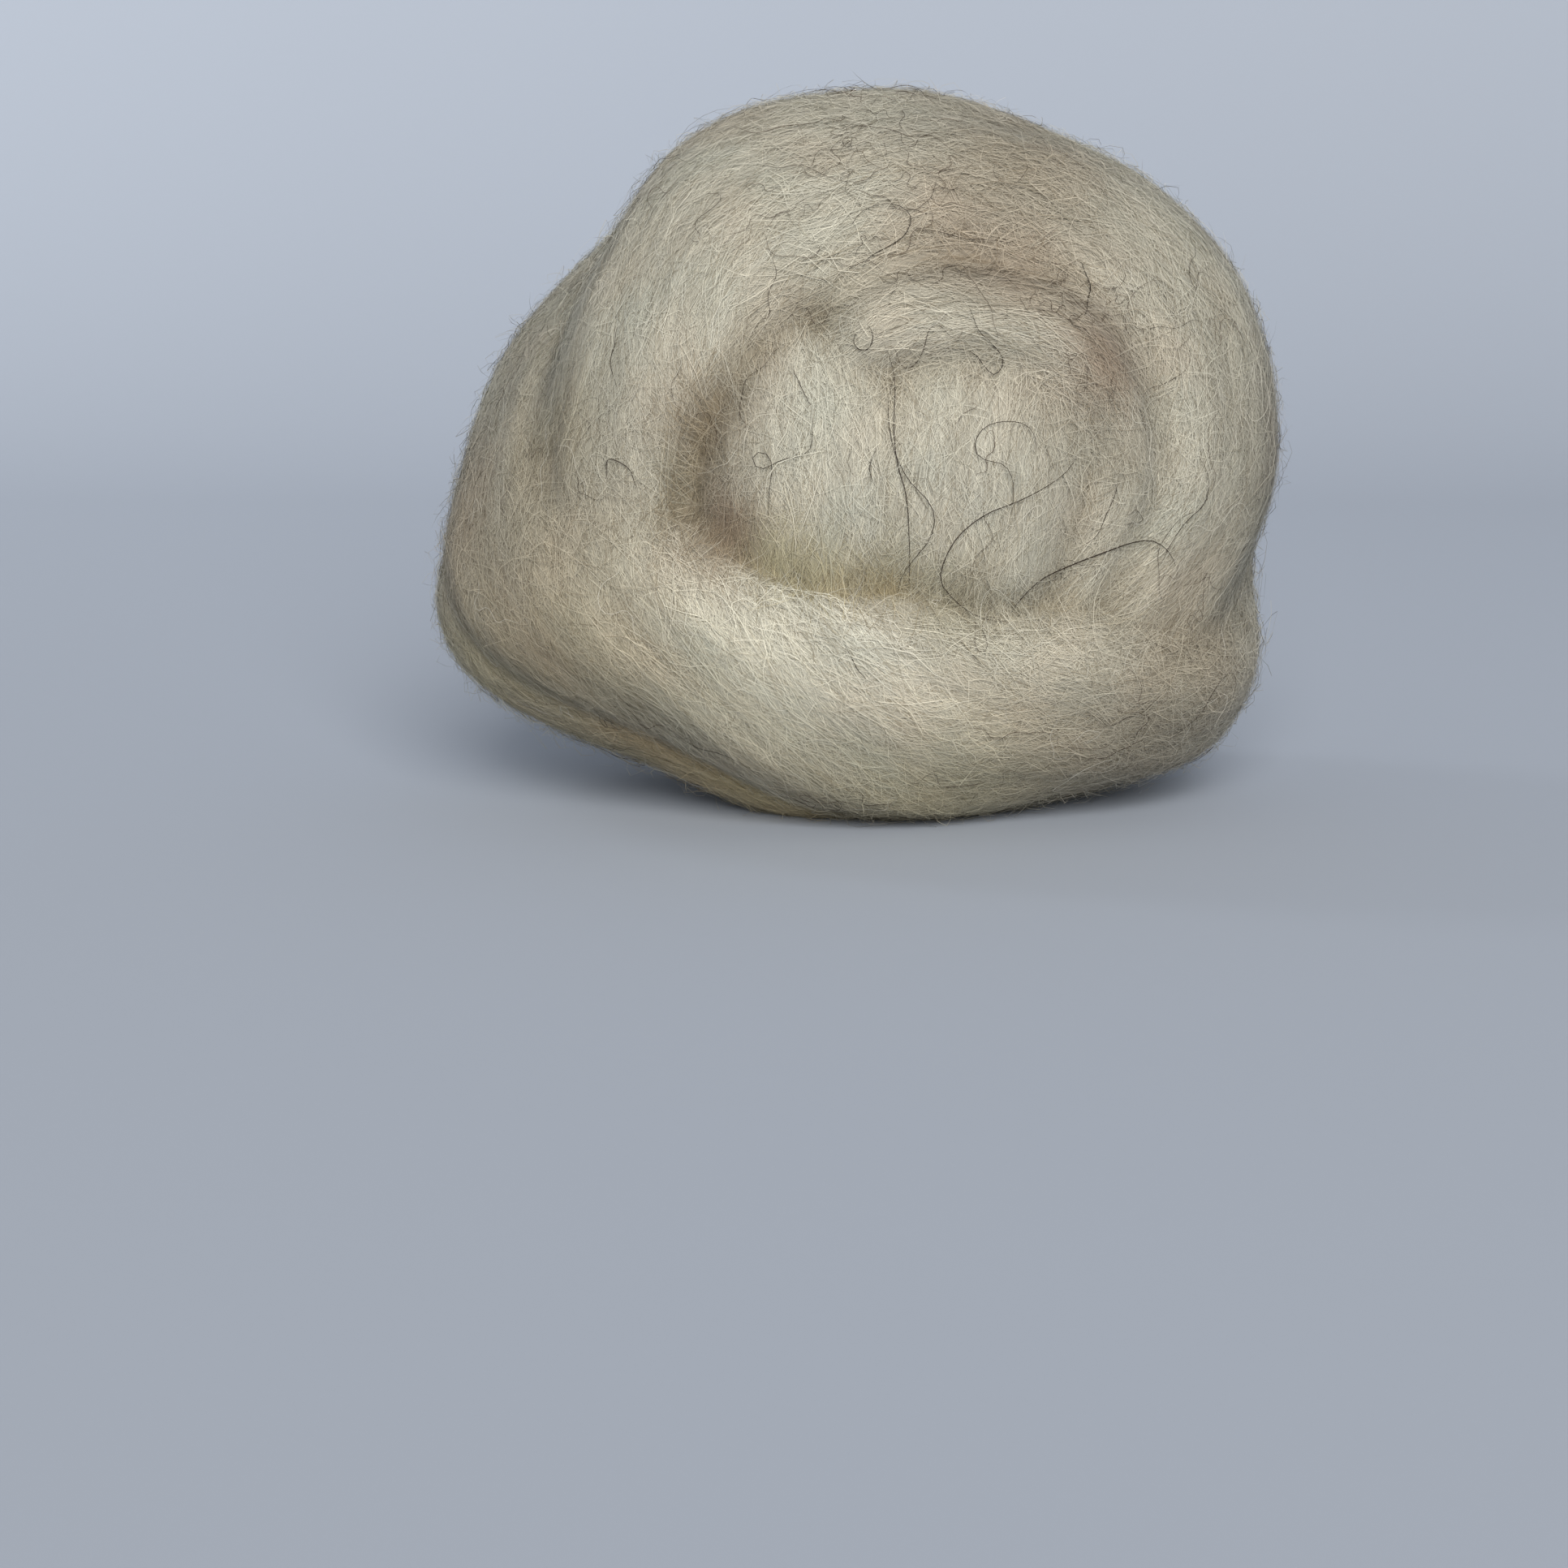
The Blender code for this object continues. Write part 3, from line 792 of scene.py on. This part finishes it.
def lay(seeds, owner, points, lengths, bow, crimp, stray=0.0, keep_in=True):
    """Directions along fibres that follow the lay of the turn that each starts on.

    stray is a further spread of their headings, in degrees, and bow and crimp are how far
    they swing and wave, in mm. Also gives the heights that their turns have there.
    """
    count = len(seeds)
    step = np.linspace(-0.5, 0.5, points)
    directions = np.zeros((count, points, 3))
    expected = np.zeros((count, points))
    drift = noise_at(seeds * 5.0, 3.0)
    for index, name in enumerate(NAMES):
        mine = np.nonzero(owner == index)[0]
        if not len(mine):
            continue
        turn = TURNS[name]
        clock, across = place_on(turn, seeds[mine])
        spread = read(turn["spread"], clock)
        heading = read(turn["slant"], clock) + 0.9 * spread * drift[mine]
        heading += (spread + stray) * RNG.standard_normal(len(mine))
        heading = np.radians(heading)[:, None]
        run = lengths[mine][:, None] * step
        phase = RNG.random((len(mine), 1)) * 2 * math.pi
        waves = RNG.uniform(0.6, 1.8, (len(mine), 1)) * 2 * math.pi
        size = crimp * RNG.uniform(0.2, 1.0, (len(mine), 1))
        curl = bow * RNG.standard_normal((len(mine), 1))
        weave = size * np.sin(phase + waves * step) + curl * (step**2 - 0.08) * 4
        forward = run * np.cos(heading) - weave * np.sin(heading)
        sideways = run * np.sin(heading) + weave * np.cos(heading)
        polar = np.radians(read(turn["polar"], clock))[:, None] + across[:, None] / DEPTH_RADIUS
        clocks = clock[:, None] + np.degrees(
            forward / (DEPTH_RADIUS * np.clip(np.sin(polar), 0.35, None))
        )
        ways = across[:, None] + sideways
        if keep_in:
            limit = RNG.uniform(0.84, 1.0, (len(mine), 1)) * read(turn["half_width"], clocks)
            ways = np.clip(ways, -limit, limit)
        directions[mine] = direction_at(turn, clocks, ways)
        if name == "core":
            expected[mine] = core_rise(directions[mine])
        else:
            expected[mine] = rise_at(turn, clocks, ways)
    return directions, expected + outline_radius(directions) + swell(directions)


def on_floor(paths):
    """Keeps every point over the surface that the ball stands on."""
    paths[..., 2] = np.maximum(paths[..., 2], -MIDDLE[2] + FIBRE_GAP)
    return paths


def fibre_tones(colours, pale=0.26, brown=0.12):
    """Each fibre's own colour: most near the wool's, some pale, some brown."""
    count = len(colours)
    kind = RNG.random(count)
    gain = RNG.normal(1.0, 0.10, count)
    gain = np.where(kind < pale, RNG.normal(1.22, 0.09, count), gain)
    gain = np.where(kind > 1 - brown, RNG.normal(0.62, 0.09, count), gain)
    tint = np.where(kind > 1 - brown, 1.0, 0.0)[:, None] * np.array((0.0, 0.06, 0.14))
    return np.clip(colours * gain[:, None] * (1 - tint), 0.02, 0.85)


def carded_fibres(surface, piece):
    """Long fibres that lie along the strands."""
    seeds = surface.seeds(FIBRES_A_PIECE)
    owner = owners_of(seeds)
    lengths = RNG.uniform(0.45, 1.6, FIBRES_A_PIECE) * FIBRE_LENGTH
    ways, expected = lay(seeds, owner, FIBRE_POINTS, lengths, bow=0.9, crimp=0.85, stray=6)
    radius, normals = surface.meet(ways)
    step = np.linspace(-1, 1, FIBRE_POINTS)
    lift = (0.05 + RNG.exponential(0.17, (FIBRES_A_PIECE, 1))) * (1 - step**2) - 0.10 * step**4
    # a fibre that goes under another turn leaves the skin there
    radius = np.where(radius - expected > 1.8, expected - 0.4, radius)
    paths = ways * radius[..., None] + normals * lift[..., None]
    taper = np.clip(1.25 - np.abs(step) ** 3, 0.25, 1)
    thick = FIBRE_RADIUS * RNG.uniform(0.6, 1.4, (FIBRES_A_PIECE, 1)) * taper
    colours = fibre_tones(wool_colours_and_shade(seeds, owner))
    fibres = ribbons(f"wool_fibres_{piece}", on_floor(paths), normals, thick, colours)
    fibres.data.materials.append(fibre_material("wool_fibre"))
    return fibres


def bridged(radius, sag=0.35):
    """Distances that pass over the dips narrower than the fibre, with a little sag."""
    place = np.linspace(0, 1, radius.shape[1])
    chord = radius[:, :1] + (radius[:, -1:] - radius[:, :1]) * place
    return np.maximum(radius, chord - sag * 4 * place * (1 - place))


def frizz(surface):
    """Short curly fibres that cross the others, most of them at the creases."""
    seeds = surface.seeds(3 * FRIZZ_COUNT)
    _, normals = surface.meet(seeds)
    slope = 1 - np.einsum("ij,ij->i", seeds, normals)
    chance = 0.05 + 0.7 * np.clip(slope, 0, 0.6) + 0.5 * np.clip(hollowness(seeds) / 2, 0, 1)
    azimuth, elevation, spread = FRIZZ_HOLLOW
    chance += np.exp(-((degrees_from(seeds, azimuth, elevation) / spread) ** 2))
    chance /= chance.sum()
    seeds = seeds[RNG.choice(len(seeds), FRIZZ_COUNT, replace=False, p=chance)]
    owner = owners_of(seeds)
    lengths = RNG.uniform(4, 12, FRIZZ_COUNT)
    ways, _ = lay(seeds, owner, FRIZZ_POINTS, lengths, bow=2.3, crimp=1.3, stray=38,
                  keep_in=False)
    radius, normals = surface.meet(ways)
    step = np.linspace(-1, 1, FRIZZ_POINTS)
    lift = (0.12 + RNG.exponential(0.28, (FRIZZ_COUNT, 1))) * (1 - 0.9 * step**2)
    paths = ways * (bridged(radius) + lift)[..., None]
    thick = FRIZZ_RADIUS * RNG.uniform(0.7, 1.3, (FRIZZ_COUNT, 1)) * (1.15 - 0.7 * step**2)
    colours = fibre_tones(wool_colours_and_shade(seeds, owner), pale=0.22, brown=0.26)
    fibres = ribbons("wool_frizz", on_floor(paths), normals, thick, colours, roll=45)
    fibres.data.materials.append(fibre_material("wool_frizz"))
    return fibres


def fuzz(surface):
    """Fine fibres that stand off the ball: half of them loops, half held at one end."""
    seeds = surface.seeds(FUZZ_COUNT)
    owner = owners_of(seeds)
    lengths = RNG.uniform(1.5, 4.8, FUZZ_COUNT)
    ways, _ = lay(seeds, owner, FUZZ_POINTS, lengths, bow=1.2, crimp=0.5, stray=55, keep_in=False)
    radius, normals = surface.meet(ways)
    step = np.linspace(0, 1, FUZZ_POINTS)
    height = np.minimum(RNG.gamma(FUZZ_SHAPE, FUZZ_SCALE, (FUZZ_COUNT, 1)), FUZZ_TOP)
    arch = np.where(RNG.random((FUZZ_COUNT, 1)) < 0.5, 4 * step * (1 - step), step**1.4)
    start = np.linspace(-0.15, 0, FUZZ_POINTS)
    paths = ways * (bridged(radius, 0.1) + height * arch + start)[..., None]
    thick = FUZZ_RADIUS * RNG.uniform(0.8, 1.3, (FUZZ_COUNT, 1)) * (1.2 - 0.8 * step)
    colours = 1.1 * fibre_tones(wool_colours_and_shade(seeds, owner), pale=0.30, brown=0.08)
    fibres = ribbons("wool_fuzz", on_floor(paths), normals, thick, colours, roll=90)
    fibres.data.materials.append(fibre_material("wool_fuzz"))
    return fibres


def smooth_route(route):
    """HAIR_POINTS directions along a smooth way through a route's own."""
    ways = facing(*np.array(route).T)
    for _ in range(3):  # cuts the corners
        cut = np.stack([0.75 * ways[:-1] + 0.25 * ways[1:], 0.25 * ways[:-1] + 0.75 * ways[1:]], 1)
        ways = np.concatenate([ways[:1], cut.reshape(-1, 3), ways[-1:]])
    run = np.concatenate([[0], np.cumsum(np.linalg.norm(np.diff(ways, axis=0), axis=1))])
    wanted = np.linspace(0, run[-1], HAIR_POINTS)
    return unit(np.stack([np.interp(wanted, run, ways[:, k]) for k in range(3)], -1))


def wandering(starts):
    """Wavy ways from these directions, that start near the lay of the turn there."""
    count, owner = len(starts), owners_of(starts)
    along = np.zeros((count, 3))
    for index, name in enumerate(NAMES):
        mine = owner == index
        clock, across = place_on(TURNS[name], starts[mine])
        along[mine] = direction_at(TURNS[name], clock + 1, across) - starts[mine]
    along = unit(along - starts * np.einsum("ij,ij->i", along, starts)[:, None])
    beyond = np.cross(starts, along)
    step = np.linspace(0, 1, HAIR_POINTS)
    heading = 0.5 * RNG.standard_normal((count, 1)) + math.pi * RNG.integers(0, 2, (count, 1))
    heading = heading + 1.6 * RNG.standard_normal((count, 1)) * (step - 0.5)
    for waves, size in ((0.8, 0.9), (1.9, 0.8), (3.1, 0.45)):
        phase = RNG.random((count, 1)) * 2 * math.pi
        swing = size * RNG.standard_normal((count, 1))
        heading = heading + swing * np.sin(phase + 2 * math.pi * waves * step)
    pace = RNG.uniform(5, 17, (count, 1)) / DEPTH_RADIUS / HAIR_POINTS
    forward, sideways = (np.cumsum(wave(heading) * pace, axis=1) for wave in (np.cos, np.sin))
    return unit(starts[:, None] + along[:, None] * forward[..., None]
                + beyond[:, None] * sideways[..., None])


def hairs(surface):
    """The coarse dark guard hairs, and as many pale ones."""
    dark = [surface.seeds(STRAY_HAIRS)]
    for azimuth, elevation, spread, count in HAIR_TUFTS:
        dark.append(facing(*(np.array([[azimuth], [elevation]]) + spread
                             * RNG.standard_normal((2, count)) / np.array([[1.2], [1.6]]))))
    dark = np.concatenate(dark)
    pale = surface.seeds(len(dark))
    ways = np.concatenate([[smooth_route(route) for _, route in HAIRS],
                           wandering(np.concatenate([dark, pale]))])
    thick = np.concatenate([[size for size, _ in HAIRS],
                            RNG.uniform(*DARK_HAIR_RADII, len(dark)),
                            RNG.uniform(*PALE_HAIR_RADII, len(pale))])
    radius, normals = surface.meet(ways)
    step = np.linspace(-1, 1, HAIR_POINTS)
    wave = RNG.random((len(ways), 1)) * 2 * math.pi
    lift = HAIR_LIFT + 0.16 * np.sin(wave + 6 * step) - 0.5 * step**6
    lift[: len(HAIRS)] += CLEAR_HAIR_LIFT
    # a hair bridges the fine grooves
    soft = radius.copy()
    for _ in range(4):
        soft[:, 1:-1] = np.maximum(soft[:, 1:-1], (soft[:, :-2] + soft[:, 2:]) / 2)
    paths = ways * (soft + lift)[..., None]
    shades = np.concatenate([
        srgb(*HAIR_COLOUR) * RNG.uniform(0.6, 1.1, (len(HAIRS), 1)),
        srgb(*HAIR_COLOUR) * RNG.uniform(0.8, 2.4, (len(dark), 1)),
        srgb(*PALE_HAIR_COLOUR) * RNG.uniform(0.65, 0.95, (len(pale), 1)),
    ])
    made = spindles("guard_hairs", on_floor(paths), normals,
                    thick[:, None] * (1.1 - 0.75 * step**2), shades)
    made.data.materials.append(fibre_material("guard_hair", 0.5, 0.0))
    return made


# ---- stage, light and camera ---------------------------------------------------------------
# Places and sizes are in metres, angles in degrees and powers in watts.
PHOTO_SIZE = 1932
BALL_AT = (1054, 556)  # the ball's middle in the photograph's frame
MM_A_PIXEL = 0.0962
SENSOR = 36  # mm
DISTANCE = 0.430
PITCH, YAW = 10.0, 1.13
STAGE_COLOUR, STAGE_REACH, STAGE_TOP = (165, 172, 183), 2.5, 2.2
SWEEP_START, SWEEP_RADIUS = 0.35, 0.45
# The floor is darker towards the key light, so that it is as bright there as round the ball.
FLOOR_SHADES = [(-2.9, 0.30), (-2.2, 0.38), (-1.6, 0.58), (-1.0, 1.0)]
LIGHTS = [  # (name, place, aim, size, power, colour)
    ("key", (0.32, -3.44, 1.72), (0, 0, 0.04), 2.00, 188.0, (1.0, 0.985, 0.965)),
    ("backdrop", (-0.55, 0.30, 0.55), (-0.15, 0.85, 0.1), 0.25, 1.2, (0.92, 0.96, 1.0)),
]
SKY_COLOUR, SKY_STRENGTH = (0.96, 0.975, 1.0), 0.26


def make_camera():
    """A camera that sees the ball where and as large as the photograph does."""
    focal = DISTANCE / (MM_A_PIXEL * MM)  # in pixels
    data = bpy.data.cameras.new("camera")
    data.sensor_width = SENSOR
    data.lens = focal * SENSOR / PHOTO_SIZE
    camera = add_object("camera", data)
    turn = (
        Matrix.Rotation(math.radians(YAW), 3, "Z")
        @ Matrix.Rotation(math.radians(90 - PITCH), 3, "X")
    )
    half = PHOTO_SIZE / 2
    ray = (turn @ Vector(((BALL_AT[0] - half) / focal, (half - BALL_AT[1]) / focal, -1)))
    middle = Vector(MIDDLE * MM)
    camera.matrix_world = Matrix.Translation(middle - ray.normalized() * DISTANCE) @ turn.to_4x4()
    bpy.context.scene.camera = camera


def area_light(name, place, aim, size, power, colour):
    data = bpy.data.lights.new(name, "AREA")
    data.size = size
    data.energy = power
    data.color = colour
    light = add_object(name, data)
    light.location = place
    light.rotation_euler = (Vector(aim) - Vector(place)).to_track_quat("-Z", "Y").to_euler()


def make_stage():
    """A pale floor that sweeps up into a blue-grey backdrop."""
    profile = [(y, 0.0) for y, _ in FLOOR_SHADES] + [(SWEEP_START, 0.0)]
    profile += [
        (SWEEP_START + SWEEP_RADIUS * math.sin(a), SWEEP_RADIUS * (1 - math.cos(a)))
        for a in np.radians(np.arange(6, 91, 6))
    ]
    profile.append((SWEEP_START + SWEEP_RADIUS, STAGE_TOP))
    mesh = bpy.data.meshes.new("stage")
    points = [(x, y, z) for y, z in profile for x in (-STAGE_REACH, STAGE_REACH)]
    faces = [(2 * k, 2 * k + 1, 2 * k + 3, 2 * k + 2) for k in range(len(profile) - 1)]
    mesh.from_pydata(points, [], faces)
    mesh.polygons.foreach_set("use_smooth", np.ones(len(faces), bool))
    shades = np.ones(len(profile))
    shades[: len(FLOOR_SHADES)] = [shade for _, shade in FLOOR_SHADES]
    colours = np.ones((len(points), 4))
    colours[:, :3] = np.repeat(shades, 2)[:, None] * srgb(*STAGE_COLOUR)
    layer = mesh.color_attributes.new("stage_colour", "FLOAT_COLOR", "POINT")
    layer.data.foreach_set("color", colours.ravel())
    stage = add_object("stage", mesh)
    material = bpy.data.materials.new("stage")
    material.use_nodes = True
    shader = material.node_tree.nodes["Principled BSDF"]
    colour = node(material.node_tree, "ShaderNodeAttribute", attribute_name="stage_colour")
    material.node_tree.links.new(colour.outputs["Color"], shader.inputs["Base Color"])
    shader.inputs["Roughness"].default_value = 0.85
    mesh.materials.append(material)


def make_light():
    """A broad key light high at the front, a small one on the backdrop and an even sky."""
    for light in LIGHTS:
        area_light(*light)
    world = bpy.data.worlds.new("studio")
    world.use_nodes = True
    sky = world.node_tree.nodes["Background"]
    sky.inputs["Color"].default_value = (*SKY_COLOUR, 1)
    sky.inputs["Strength"].default_value = SKY_STRENGTH
    bpy.context.scene.world = world
    bpy.context.scene.view_settings.view_transform = "Standard"


def main():
    make_camera()
    make_stage()
    make_light()
    body = make_body()
    dress_body(body)
    surface = Surface(body)
    pieces = [body]
    for piece in range(FIBRE_PIECES):
        pieces.append(carded_fibres(surface, piece + 1))
    pieces += [frizz(surface), fuzz(surface), hairs(surface)]
    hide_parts("roving_ball")
    for piece in pieces:
        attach(piece, "root")


main()
